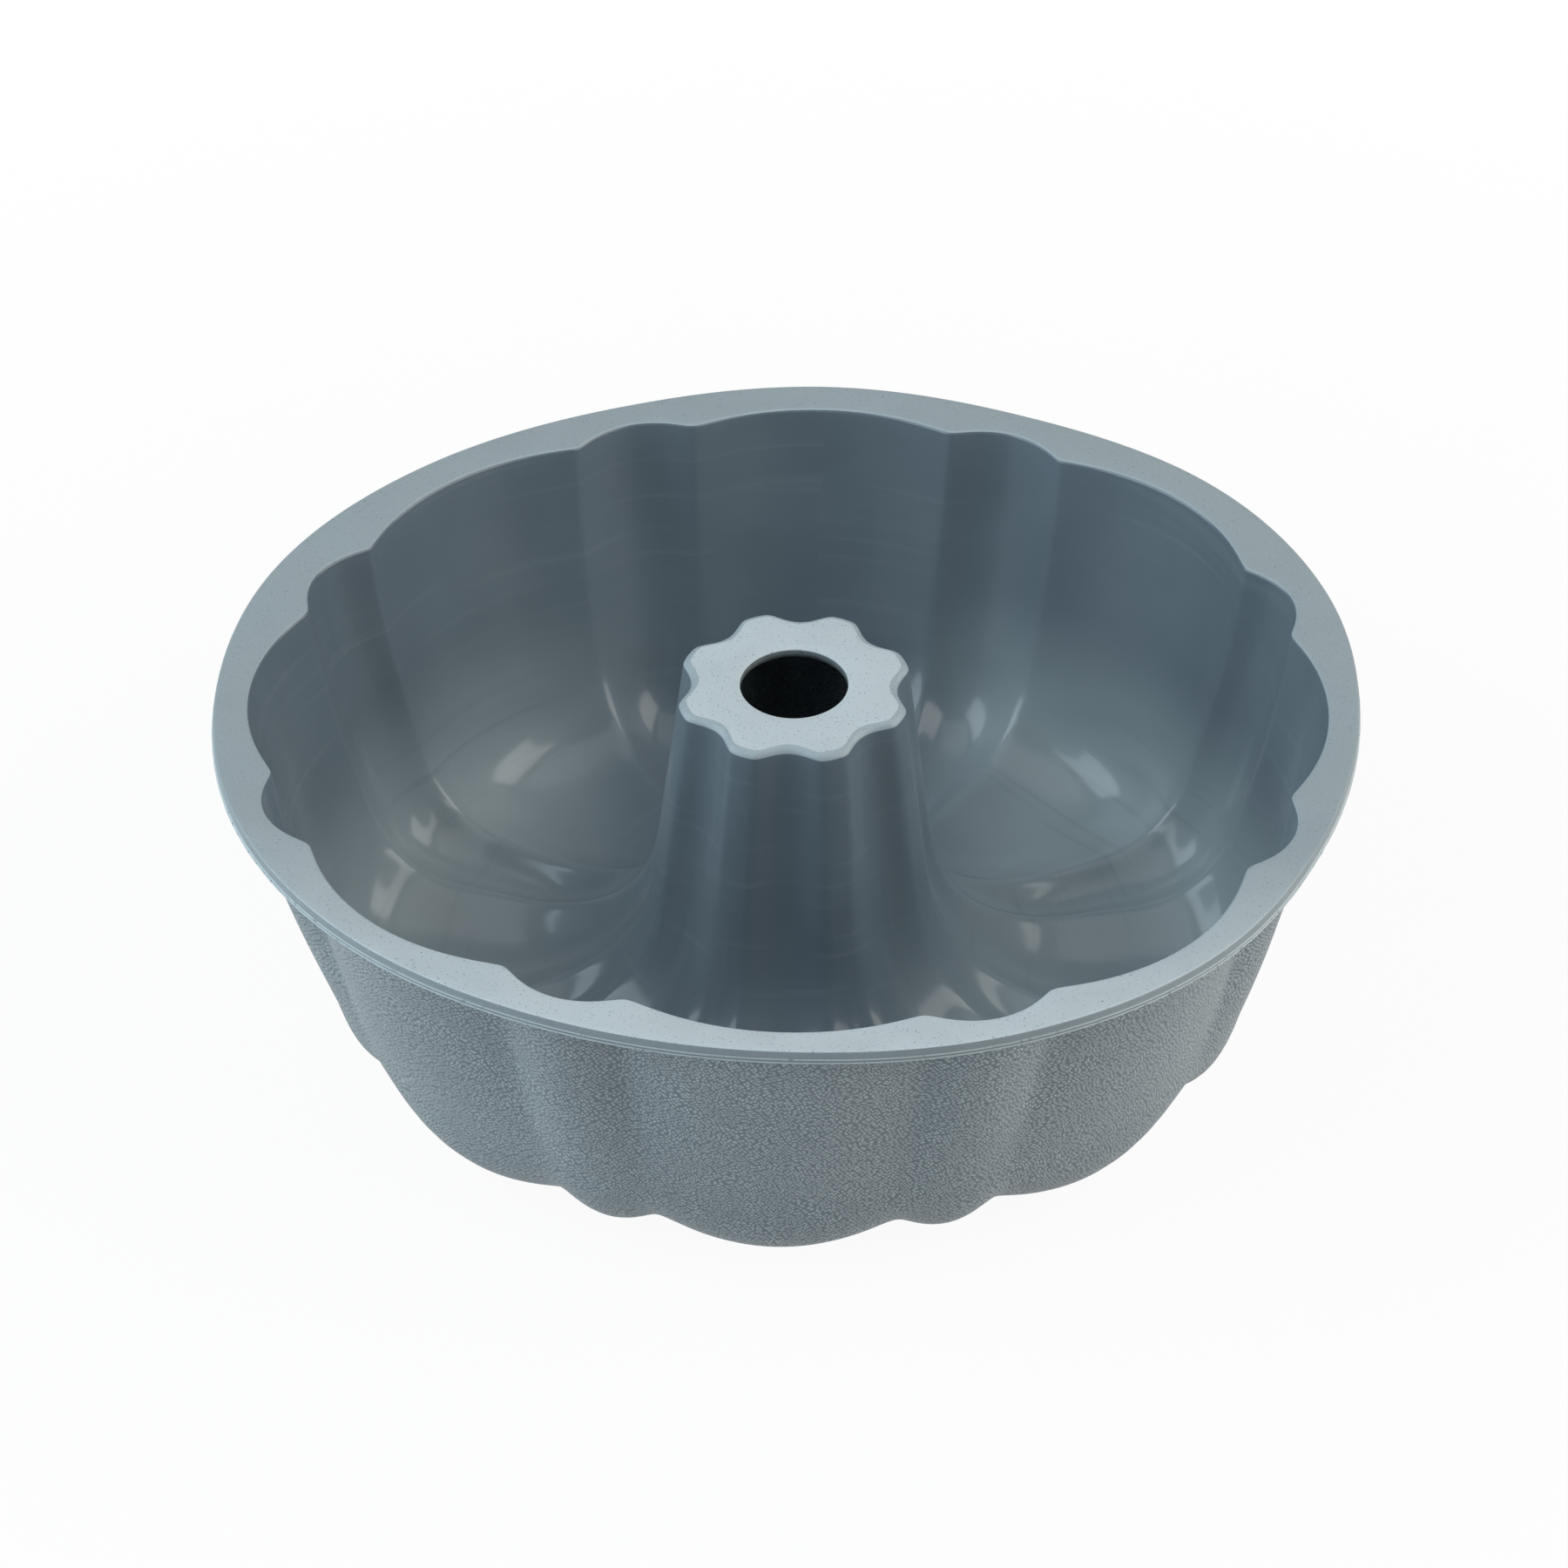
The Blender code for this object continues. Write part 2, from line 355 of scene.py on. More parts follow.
def ridge_rounding(turn):
    """How round the ridges are inside: rounder on the floor, and most of all at the tube's foot."""
    near_floor = ease(1 - np.abs(turn - AT_FLOOR))
    near_tube_foot = ease(1 - np.abs(turn - TUBE_FOOT_MIDDLE) / TUBE_FOOT_REACH)
    rounding = RIDGE_ROUNDING + (FLOOR_RIDGE_ROUNDING - RIDGE_ROUNDING) * near_floor
    return rounding + (TUBE_FOOT_RIDGE_ROUNDING - rounding) * near_tube_foot


def crease_rounding(turn):
    """How round the creases are outside: sharp up the wall, and as the ridges are at the floor."""
    return CREASE_ROUNDING + (ridge_rounding(turn) - CREASE_ROUNDING) * ease(turn)


def near_corner(turn):
    """1 where the wall turns into the floor, falling to 0 at the mouth and on the tube."""
    return ease(CORNER_REACH - np.abs(turn - CORNER_MIDDLE))


def swell(angle, turn, rounding, fill=0.0, widening=0.0):
    """How far the surface stands out beyond the ridges, at this angle round the pan.

    The creases between the flutes are rounded, and filled to this height, and the wide flutes are
    wider than the cavity's by this angle on each side.
    """
    offset = (angle + PITCH / 2) % PITCH - PITCH / 2
    from_narrow = PITCH / 2 - np.abs(offset)
    wide = depth_at(turn, *WIDE_DEPTHS) - fill
    narrow = depth_at(turn, *NARROW_DEPTHS) - fill
    wide = wide * (1 - (offset / (WIDE_HALF_ANGLE + widening)) ** 2)
    narrow = narrow * (1 - (from_narrow / (NARROW_HALF_ANGLE - widening)) ** 2)
    return fill + (wide + narrow + np.hypot(wide - narrow, rounding)) / 2


def ridge_line(tube_end, wall_end):
    """Radius, height and turn along a ridge, between these heights on the tube and the wall."""
    slope = math.tan(TUBE_DRAFT)
    arc_height = FLOOR_RIDGE_HEIGHT + TROUGH_INNER_RADIUS
    arc_centre = TUBE_RIDGE_RADIUS + (TUBE_TOP - arc_height) * slope
    arc_centre += TROUGH_INNER_RADIUS / math.cos(TUBE_DRAFT)
    tube_foot = arc_height - TROUGH_INNER_RADIUS * math.sin(TUBE_DRAFT)
    height = np.linspace(tube_end, tube_foot, TUBE_ROWS, endpoint=False)
    parts = [(TUBE_RIDGE_RADIUS + (TUBE_TOP - height) * slope, height, height * 0 + AT_TUBE)]

    share = np.linspace(0, 1, INNER_ARC_ROWS, endpoint=False)
    angle = math.pi + TUBE_DRAFT + share * (math.pi / 2 - TUBE_DRAFT)
    radius = arc_centre + TROUGH_INNER_RADIUS * np.cos(angle)
    parts.append((radius, arc_height + TROUGH_INNER_RADIUS * np.sin(angle), AT_TUBE - share))

    radius = np.linspace(arc_centre, arc_centre + TROUGH_FLOOR_WIDTH, FLOOR_ROWS, endpoint=False)
    parts.append((radius, radius * 0 + FLOOR_RIDGE_HEIGHT, radius * 0 + AT_FLOOR))

    arc_centre += TROUGH_FLOOR_WIDTH
    arc_height = FLOOR_RIDGE_HEIGHT + TROUGH_OUTER_RADIUS
    share = np.linspace(0, 1, OUTER_ARC_ROWS, endpoint=False)
    angle = -math.pi / 2 + share * (math.pi / 2 - WALL_FOOT_DRAFT)
    radius = arc_centre + TROUGH_OUTER_RADIUS * np.cos(angle)
    parts.append((radius, arc_height + TROUGH_OUTER_RADIUS * np.sin(angle), AT_FLOOR - share))

    foot_radius = arc_centre + TROUGH_OUTER_RADIUS * math.cos(WALL_FOOT_DRAFT)
    foot = arc_height - TROUGH_OUTER_RADIUS * math.sin(WALL_FOOT_DRAFT)
    height = np.linspace(foot, wall_end, WALL_ROWS)
    share = (height - foot) / (RIM_HEIGHT - foot)
    foot_slope = math.tan(WALL_FOOT_DRAFT)
    straightening = math.tan(WALL_MOUTH_DRAFT) - foot_slope
    radius = foot_radius + (height - foot) * (foot_slope + straightening * share / 2)
    parts.append((radius, height, AT_MOUTH * share))
    return [np.concatenate(column) for column in zip(*parts)]


def skin(line, angles, outside=False):
    """Radius and height of the fluted surface, a row for each station of the line."""
    radius, height, turn = (column[:, None] for column in line)
    if outside:
        near = near_corner(turn)
        fill = CORNER_CREASE_FILL * near
        out = swell(angles[None, :], turn, crease_rounding(turn), fill, CORNER_WIDENING * near)
    else:
        out = swell(angles[None, :], turn, ridge_rounding(turn))
    swelling_down = np.maximum(turn, AT_WALL_FOOT) * math.pi / 2
    return radius + out * np.cos(swelling_down), height - out * np.sin(swelling_down)


def to_points(radius, height, angles):
    """Points at these radii and heights, and at these angles from the front round by the right."""
    return np.stack([radius * np.sin(angles), -radius * np.cos(angles), height + 0 * angles], -1)


def shell(line, angles):
    """The pan's outer surface: the cavity's, with filled creases, moved out along its normals."""
    radius, height = skin(line, angles, outside=True)
    points = to_points(radius, height, angles)
    along = np.gradient(points, axis=0)
    around = np.roll(points, -1, axis=1) - np.roll(points, 1, axis=1)
    normal = np.cross(around, along)
    normal /= np.linalg.norm(normal, axis=2, keepdims=True)
    in_top_part = line[1] / RIM_HEIGHT * HEIGHT_PARTS - (HEIGHT_PARTS - 1)
    thicken = ease(in_top_part * (line[2] <= AT_WALL_FOOT))[:, None, None]
    points += normal * (WALL_THICKNESS + (FLANGE_THICKNESS - WALL_THICKNESS) * thicken)
    z = points[..., 2]
    points[..., 2] = (z + np.hypot(z, FOOT_SOFTNESS)) / 2
    return np.hypot(points[..., 0], points[..., 1]), points[..., 2]


def fillet_reach(radius, draft):
    """How far from its corner a fillet between a drafted wall and a level face begins."""
    return radius * math.tan((math.pi / 2 - draft) / 2)


def mouth_fillet(mouth):
    """Rows of the fillet from the wall over its corner, at these radii, to the flange's top."""
    turn = math.pi / 2 - WALL_MOUTH_DRAFT
    reach = fillet_reach(MOUTH_EDGE_RADIUS, WALL_MOUTH_DRAFT)
    rows = []
    for step in range(1, EDGE_ROWS + 1):
        angle = turn * (1 - step / EDGE_ROWS)
        radius = mouth + reach - MOUTH_EDGE_RADIUS * math.sin(angle)
        height = RIM_HEIGHT - MOUTH_EDGE_RADIUS + MOUTH_EDGE_RADIUS * math.cos(angle)
        if step < HALF_EDGE_ROWS:
            finish = GLOSS
        elif step <= ROUNDED_ROWS:
            finish = ROUNDED
        else:
            finish = MATT
        rows.append((radius, height, finish))
    return rows


def smooth_noise(angles, seed, waves):
    """A few sine waves of unlike lengths round the pan, between about -1 and 1."""
    rng = np.random.default_rng(seed)
    total = angles * 0
    for wave in waves:
        total = total + np.sin(angles * wave + rng.uniform(0, 2 * math.pi)) / len(waves)
    return total


def tube_top_rows(angles):
    """Rows of the tube's top, from the hole's edge over the flat land to the rounded outer edge."""
    rows = []
    for step in range(HOLE_EDGE_ROWS):
        angle = math.pi / 2 * step / HOLE_EDGE_ROWS
        radius = HOLE_RADIUS + HOLE_EDGE_RADIUS * (1 - math.cos(angle))
        rows.append((radius, TUBE_TOP - HOLE_EDGE_RADIUS * (1 - math.sin(angle)), TUBE_MATT))
    start = HOLE_RADIUS + HOLE_EDGE_RADIUS
    end = TUBE_RIDGE_RADIUS - swell(angles, AT_TUBE, RIDGE_ROUNDING)
    end = end - fillet_reach(TUBE_EDGE_RADIUS, TUBE_DRAFT)
    for step in range(LAND_ROWS + 1):
        finish = TUBE_MATT if step < LAND_ROWS else ROUNDED
        rows.append((start + (end - start) * step / LAND_ROWS, TUBE_TOP, finish))
    for step in range(1, EDGE_ROWS):
        angle = (math.pi / 2 - TUBE_DRAFT) * step / EDGE_ROWS
        radius = end + TUBE_EDGE_RADIUS * math.sin(angle)
        finish = ROUNDED if step <= ROUNDED_ROWS else GLOSS
        rows.append((radius, TUBE_TOP - TUBE_EDGE_RADIUS * (1 - math.cos(angle)), finish))
    return rows


def flange_rows(start, angles):
    """Rows of the flange's top, from these radii outward, and of its edge with the flash."""
    rows = []
    end = FLANGE_RADIUS - FLANGE_EDGE_RADIUS
    for step in range(1, LAND_ROWS + 1):
        rows.append((start + (end - start) * step / LAND_ROWS, RIM_HEIGHT, MATT))
    for step in range(1, EDGE_ROWS + 1):
        angle = math.pi / 2 * step / EDGE_ROWS
        radius = FLANGE_RADIUS - FLANGE_EDGE_RADIUS * (1 - math.sin(angle))
        finish = MATT if step < HALF_EDGE_ROWS else EDGE
        rows.append((radius, RIM_HEIGHT - FLANGE_EDGE_RADIUS * (1 - math.cos(angle)), finish))
    for index in range(FLASH_LINES):
        middle = RIM_HEIGHT - SMOOTH_BAND - FLASH_SPACING * index
        ragged = FLASH_RAGGEDNESS * smooth_noise(angles, index, FLASH_WAVES)
        ragged = 1 - FLASH_RAGGEDNESS + ragged
        rows.append((FLANGE_RADIUS, middle + FLASH_WIDTH / 2, FLASH))
        rows.append((FLANGE_RADIUS + FLASH_HEIGHT * ragged, middle, FLASH))
        rows.append((FLANGE_RADIUS, middle - FLASH_WIDTH / 2, EDGE))
    return rows


def outer_rows(angles):
    """Rows of the outer surface, from under the flange to the underside of the tube's top."""
    underside = RIM_HEIGHT - FLANGE_THICKNESS
    under_land = TUBE_TOP - WALL_THICKNESS
    line = ridge_line(under_land - UNDER_LAND_FILLET, underside - UNDER_FLANGE_FILLET)
    outer = list(zip(*shell(line, angles)))
    rows = [(LOWER_CORNER_RADIUS, underside)]
    wall, start = outer[-1]
    near = wall + UNDER_FLANGE_FILLET
    for step in range(1, LAND_ROWS + 1):
        radius = LOWER_CORNER_RADIUS + (near - LOWER_CORNER_RADIUS) * step / LAND_ROWS
        rows.append((radius, underside))
    for step in range(1, EDGE_ROWS):
        angle = math.pi / 2 * (1 - step / EDGE_ROWS)
        radius = wall + UNDER_FLANGE_FILLET * (1 - math.cos(angle))
        rows.append((radius, start + (underside - start) * math.sin(angle)))
    rows += reversed(outer)
    wall, start = outer[0]
    for step in range(1, EDGE_ROWS + 1):
        angle = math.pi / 2 * step / EDGE_ROWS
        radius = wall - UNDER_LAND_FILLET * (1 - math.cos(angle))
        rows.append((radius, start + (under_land - start) * math.sin(angle)))
    near = rows[-1][0]
    for step in range(1, LAND_ROWS + 1):
        rows.append((near + (HOLE_RADIUS - near) * step / LAND_ROWS, under_land))
    rows.append((HOLE_RADIUS, (under_land + TUBE_TOP) / 2))
    return [(radius, height, GRAIN) for radius, height in rows]


def section_rows(angles):
    """All rows of the closed surface as (radius, height, finish), and the mouth's radii."""
    tube_reach = fillet_reach(TUBE_EDGE_RADIUS, TUBE_DRAFT)
    mouth_reach = fillet_reach(MOUTH_EDGE_RADIUS, WALL_MOUTH_DRAFT)
    line = ridge_line(
        TUBE_TOP - tube_reach * math.cos(TUBE_DRAFT),
        RIM_HEIGHT - mouth_reach * math.cos(WALL_MOUTH_DRAFT),
    )
    rows = tube_top_rows(angles)
    rows += [(radius, height, GLOSS) for radius, height in zip(*skin(line, angles))]
    mouth = rows[-1][0] + mouth_reach * math.sin(WALL_MOUTH_DRAFT)
    rows += mouth_fillet(mouth)
    rows += flange_rows(rows[-1][0], angles)
    rows += outer_rows(angles)
    level = 0 * angles
    return [(radius + level, height + level, finish) for radius, height, finish in rows], mouth


def round_curve(millimetres, angles):
    """A smooth closed curve through evenly spaced values, read at these angles, in metres."""
    values = np.array(millimetres) * MILLIMETRE
    place = (angles / (2 * math.pi) * len(values)) % len(values)
    start = np.floor(place).astype(int)
    t = place - start
    before, first, last, after = (values[(start + step) % len(values)] for step in (-1, 0, 1, 2))
    slope_in = (last - before) / 2
    slope_out = (after - first) / 2
    curve = first + slope_in * t + (3 * (last - first) - 2 * slope_in - slope_out) * t**2
    return curve + (2 * (first - last) + slope_in + slope_out) * t**3


def settle(points, angles, mouth):
    """The moulded shape as the soft pan stands: its mouth has sagged and its tube's top leans."""
    radius = np.hypot(points[..., 0], points[..., 1])
    height = points[..., 2]
    share = ease((height - SETTLED_FROM) / (RIM_HEIGHT - SETTLED_FROM)) * (radius > SETTLED_OUTSIDE)
    across = np.clip((radius - mouth) / (FLANGE_RADIUS - mouth), 0, 1)
    edge = round_curve(SETTLED_EDGE, angles)
    mouth_out = round_curve(SETTLED_MOUTH, angles)
    out = share * (mouth_out + (edge - mouth_out) * across)
    turn = share * round_curve(SETTLED_TURN, angles)
    low, high = FOOT_TURN_HEIGHTS
    inner, outer = FOOT_TURN_RADII
    foot = ease((radius - inner) / (outer - inner)) * (1 - ease((height - low) / (high - low)))
    turn = (turn + foot * round_curve(SETTLED_FOOT_TURN, angles)) / FLANGE_RADIUS
    rise = share * (round_curve(SETTLED_HEIGHT, angles) + FLANGE_DISH * across)
    settled = to_points(radius + out, height + rise, angles + turn)
    below_rim = 1 - ease(height / RIM_HEIGHT)
    settled[..., 0] += below_rim * FOOT_SHIFT[0]
    settled[..., 1] += below_rim * FOOT_SHIFT[1]

    share = ease((height - TUBE_SETTLED_FROM) / (TUBE_TOP - TUBE_SETTLED_FROM))
    share = share * (radius < TUBE_SETTLED_WITHIN)
    settled[..., 0] += share * TUBE_SHIFT[0]
    settled[..., 2] += share * math.tan(TUBE_LEAN) * points[..., 1]
    settled[..., 1] += share * TUBE_SHIFT[1]
    return settled


def lay_texture(mesh, points, angles):
    """Texture coordinates in metres, round the pan and along its section; the back has the seam."""
    around = (angles + math.pi) % (2 * math.pi) - math.pi
    column_step = np.diff(angles, append=angles[0] + 2 * math.pi)
    row_step = np.linalg.norm(np.roll(points, -1, axis=0) - points, axis=2).mean(axis=1)
    along = np.cumsum(row_step) - row_step
    next_column = np.array([0, 0, 1, 1])
    next_row = np.array([0, 1, 1, 0])
    grid = np.zeros((len(row_step), len(column_step), 4, 2))
    grid[..., 0] = GRAIN_RADIUS * (around[:, None] + column_step[:, None] * next_column)
    grid[..., 1] = (along[:, None] + row_step[:, None] * next_row)[:, None, :]
    layer = mesh.uv_layers.new(name="around_and_along")
    layer.uv.foreach_set("vector", grid.ravel().astype(np.float32))


def build_pan():
    """The whole moulding as one closed surface, with a finish for each band of faces."""
    angles = columns()
    rows, mouth = section_rows(angles)
    points = np.stack([to_points(radius, height, angles) for radius, height, _ in rows])
    points = settle(points, angles, mouth)
    n_rows, n_columns = points.shape[:2]
    index = np.arange(n_rows * n_columns).reshape(n_rows, n_columns)
    below = np.roll(index, -1, axis=0)
    corners = np.stack([index, below, np.roll(below, -1, axis=1), np.roll(index, -1, axis=1)], -1)
    mesh = bpy.data.meshes.new("silicone_pan_skin")
    mesh.from_pydata(points.reshape(-1, 3).tolist(), [], corners.reshape(-1, 4).tolist())
    finish = np.repeat([row[2] for row in rows], n_columns)
    mesh.polygons.foreach_set("material_index", finish.astype(np.int32))
    mesh.shade_smooth()
    mesh.validate()
    lay_texture(mesh, points, angles)
    pan = bpy.data.objects.new("silicone_pan_skin", mesh)
    bpy.context.scene.collection.objects.link(pan)
    return pan


def feed(tree, socket, value):
    """Links the value to the socket if it is another socket, and otherwise sets it."""
    if isinstance(value, bpy.types.NodeSocket):
        tree.links.new(value, socket)
    else:
        socket.default_value = value


def calculate(tree, operation, *values):
    """The result of a Math node."""
    node = tree.nodes.new("ShaderNodeMath")
    node.operation = operation
    for socket, value in zip(node.inputs, values):
        feed(tree, socket, value)
    return node.outputs["Value"]


def map_range(tree, kind, value, start, end, at_start=0.0, at_end=1.0):
    """The value, with start to end spread over at_start to at_end, and held at both ends."""
    node = tree.nodes.new("ShaderNodeMapRange")
    node.interpolation_type = kind
    feed(tree, node.inputs["Value"], value)
    node.inputs["From Min"].default_value = start
    node.inputs["From Max"].default_value = end
    node.inputs["To Min"].default_value = at_start
    node.inputs["To Max"].default_value = at_end
    return node.outputs["Result"]


def mix_shaders(tree, share, first, second):
    """The first shader, with this share of the second."""
    node = tree.nodes.new("ShaderNodeMixShader")
    feed(tree, node.inputs["Fac"], share)
    feed(tree, node.inputs[1], first)
    feed(tree, node.inputs[2], second)
    return node.outputs["Shader"]


class Finish:
    """A procedural material, with a short call for each kind of node."""

    def __init__(self, name):
        self.material = bpy.data.materials.new(name)
        self.material.use_nodes = True
        self.tree = self.material.node_tree
        self.shader = self.tree.nodes["Principled BSDF"]
        self.shader.inputs["IOR"].default_value = SILICONE_IOR
        coordinates = self.tree.nodes.new("ShaderNodeTexCoord")
        self.place = coordinates.outputs["Object"]
        self.skin_place = coordinates.outputs["UV"]

    def noise(self, size, detail, place=None, stretch=(1, 1, 1)):
        """Cloudy noise from 0 to 1, whose largest lumps have this size in metres."""
        mapping = self.tree.nodes.new("ShaderNodeMapping")
        feed(self.tree, mapping.inputs["Vector"], place or self.place)
        mapping.inputs["Scale"].default_value = stretch
        texture = self.tree.nodes.new("ShaderNodeTexNoise")
        feed(self.tree, texture.inputs["Vector"], mapping.outputs["Vector"])
        texture.inputs["Scale"].default_value = 1 / size
        texture.inputs["Detail"].default_value = detail
        return texture.outputs["Fac"]

    def pebbles(self):
        """Pebbles on the skin, in wandering rows: 0 in their middles, rising outward."""
        wandering = self.wander(PEBBLE_WANDER_SIZE, PEBBLE_WANDER_REACH)
        mapping = self.tree.nodes.new("ShaderNodeMapping")
        feed(self.tree, mapping.inputs["Vector"], wandering)
        mapping.inputs["Rotation"].default_value = (0, 0, PEBBLE_ROWS_TURN)
        texture = self.tree.nodes.new("ShaderNodeTexVoronoi")
        texture.voronoi_dimensions = "2D"
        feed(self.tree, texture.inputs["Vector"], mapping.outputs["Vector"])
        texture.inputs["Scale"].default_value = 1 / PEBBLE_SIZE
        texture.inputs["Randomness"].default_value = PEBBLE_RANDOMNESS
        return texture.outputs["Distance"]

    def wander(self, size, reach):
        """The place on the skin, shifted by noise of this size by up to about twice this far."""
        texture = self.tree.nodes.new("ShaderNodeTexNoise")
        feed(self.tree, texture.inputs["Vector"], self.skin_place)
        texture.inputs["Scale"].default_value = 1 / size
        shift = self.tree.nodes.new("ShaderNodeVectorMath")
        shift.operation = "MULTIPLY_ADD"
        feed(self.tree, shift.inputs[0], texture.outputs["Color"])
        shift.inputs[1].default_value = (2 * reach,) * 3
        feed(self.tree, shift.inputs[2], self.skin_place)
        return shift.outputs["Vector"]

    def along(self, axis):
        """The place's coordinate along this axis."""
        split = self.tree.nodes.new("ShaderNodeSeparateXYZ")
        feed(self.tree, split.inputs["Vector"], self.place)
        return split.outputs[axis]

    def away(self, axis, middle):
        """The place's distance along this axis from the middle, on either side of it."""
        offset = calculate(self.tree, "SUBTRACT", self.along(axis), middle)
        return calculate(self.tree, "ABSOLUTE", offset)

    def spread(self, value, *numbers):
        """The value through one of the ranges above."""
        return map_range(self.tree, "SMOOTHSTEP", value, *numbers)

    def blend(self, share, first, second):
        """The first colour, with this share of the second."""
        mix = self.tree.nodes.new("ShaderNodeMix")
        mix.data_type = "RGBA"
        feed(self.tree, mix.inputs["Factor"], share)
        feed(self.tree, mix.inputs["A"], first)
        feed(self.tree, mix.inputs["B"], second)
        return mix.outputs["Result"]

    def raise_by(self, height, depth, under=None):
        """The normal of a surface raised by this height times this depth in metres."""
        bump = self.tree.nodes.new("ShaderNodeBump")
        bump.inputs["Distance"].default_value = depth
        feed(self.tree, bump.inputs["Height"], height)
        if under:
            feed(self.tree, bump.inputs["Normal"], under)
        return bump.outputs["Normal"]

    def complete(self, colour, roughness, normal):
        """The material, with these on its shader."""
        feed(self.tree, self.shader.inputs["Base Color"], colour)
        feed(self.tree, self.shader.inputs["Roughness"], roughness)
        feed(self.tree, self.shader.inputs["Normal"], normal)
        return self.material


def matt_finish(name, painted_light_range):
    """The matt flange and tube top with their frost finish and fine specks, and painted light: paler
    at the front, fading to the plain colour towards the back.
    """
    finish = Finish(name)
    speck = finish.noise(*MATT_SPECK_NOISE)
    cloud = finish.noise(*MATT_CLOUD_NOISE)
    # Painted light: pale at the front, fading to the plain colour towards the back
    painted_light_fade = finish.spread(finish.along("Y"), *painted_light_range)
    colour = finish.blend(painted_light_fade, MATT_PAINTED_LIGHT_COLOUR, MATT_COLOUR)
    colour = finish.blend(finish.spread(speck, *MATT_SPECK_RANGE), colour, MATT_SPECK_COLOUR)
    colour = finish.blend(finish.spread(speck, *MATT_LIGHT_RANGE), colour, MATT_LIGHT_COLOUR)
    colour = finish.blend(finish.spread(cloud, *MATT_CLOUD_RANGE), colour, MATT_SPECK_COLOUR)
    normal = finish.raise_by(finish.noise(*MATT_BUMP_NOISE), MATT_BUMP_DEPTH)
    return finish.complete(colour, finish.spread(cloud, *MATT_ROUGHNESS_RANGE), normal)


def gloss_finish():
    """The smooth cavity: dark, with clouds, flecks, a painted sheen at the sides and painted
    highlight rings.
    """
    finish = Finish("silicone_gloss")
    cloud = finish.noise(*GLOSS_CLOUD_NOISE)
    colour = finish.blend(finish.spread(cloud, *GLOSS_CLOUD_RANGE), GLOSS_COLOUR, GLOSS_DARK_COLOUR)
    # Painted sheen: a paler colour low at the sides of the cavity, for the lamps' broad sheen on the
    # floor
    at_side = finish.spread(finish.away("X", PAINTED_SHEEN_MIDDLE), *PAINTED_SHEEN_SIDES)
    at_floor = finish.spread(finish.along("Z"), *PAINTED_SHEEN_HEIGHTS)
    painted_sheen = calculate(finish.tree, "MULTIPLY", at_side, at_floor)
    colour = finish.blend(painted_sheen, colour, GLOSS_PAINTED_SHEEN_COLOUR)
    fleck = finish.noise(*GLOSS_FLECK_NOISE)
    colour = finish.blend(finish.spread(fleck, *GLOSS_FLECK_RANGE), colour, GLOSS_FLECK_AND_PAINTED_STREAK_COLOUR)
    # Painted highlight: faint pale rings round the cavity stand in for reflected streaks; the same
    # noise gives them a faint bump
    streak = finish.noise(*GLOSS_STREAK_NOISE, finish.skin_place, GLOSS_STREAK_STRETCH)
    colour = finish.blend(finish.spread(streak, *GLOSS_PAINTED_STREAK_RANGE), colour, GLOSS_FLECK_AND_PAINTED_STREAK_COLOUR)
    rubbed = finish.noise(*GLOSS_RUBBED_NOISE)
    roughness = finish.spread(rubbed, *GLOSS_ROUGHNESS_RANGE)
    normal = finish.raise_by(finish.noise(*GLOSS_WAVE_NOISE), GLOSS_WAVE_DEPTH)
    normal = finish.raise_by(streak, GLOSS_STREAK_DEPTH, normal)
    normal = finish.raise_by(finish.noise(*GLOSS_FINE_NOISE), GLOSS_FINE_DEPTH, normal)
    finish.shader.inputs["Coat Weight"].default_value = GLOSS_COAT_WEIGHT
    finish.shader.inputs["Coat Roughness"].default_value = GLOSS_COAT_ROUGHNESS
    feed(finish.tree, finish.shader.inputs["Coat Normal"], normal)
    return finish.complete(colour, roughness, normal)


def grain_finish():
    """The outside: a fine pebble grain, with painted highlights on its small tops and painted shade
    in the gaps.
    """
    finish = Finish("silicone_grain")
    pebble = finish.pebbles()
    cloud = finish.noise(*GRAIN_CLOUD_NOISE)
    tone = finish.noise(*GRAIN_TONE_NOISE)
    # Painted shade in the gaps between the pebbles, and painted highlights on their tops
    colour = finish.blend(finish.spread(pebble, *GRAIN_PAINTED_SHADE_RANGE), GRAIN_COLOUR, GRAIN_PAINTED_SHADE_AND_CLOUD_COLOUR)
    top = finish.blend(finish.spread(tone, *GRAIN_TONE_RANGE), GRAIN_PAINTED_HIGHLIGHT_COLOUR, GRAIN_COLOUR)
    colour = finish.blend(finish.spread(pebble, *GRAIN_PAINTED_HIGHLIGHT_RANGE), colour, top)
    colour = finish.blend(finish.spread(cloud, *GRAIN_CLOUD_RANGE), colour, GRAIN_PAINTED_SHADE_AND_CLOUD_COLOUR)
    roughness = finish.spread(pebble, *GRAIN_ROUGHNESS_RANGE)
    normal = finish.raise_by(finish.spread(pebble, *GRAIN_BUMP_RANGE), GRAIN_BUMP_DEPTH)
    return finish.complete(colour, roughness, normal)


def rounded_finish():
    """The rounded edges beside the matt faces, rubbed smoother than they are."""
    finish = Finish("silicone_rounded")
    speck = finish.noise(*ROUNDED_SPECK_NOISE)
    colour = finish.blend(finish.spread(speck, *ROUNDED_SPECK_RANGE), ROUNDED_COLOUR, MATT_COLOUR)
    normal = finish.raise_by(finish.noise(*ROUNDED_BUMP_NOISE), ROUNDED_BUMP_DEPTH)
    return finish.complete(colour, finish.spread(speck, *ROUNDED_ROUGHNESS_RANGE), normal)


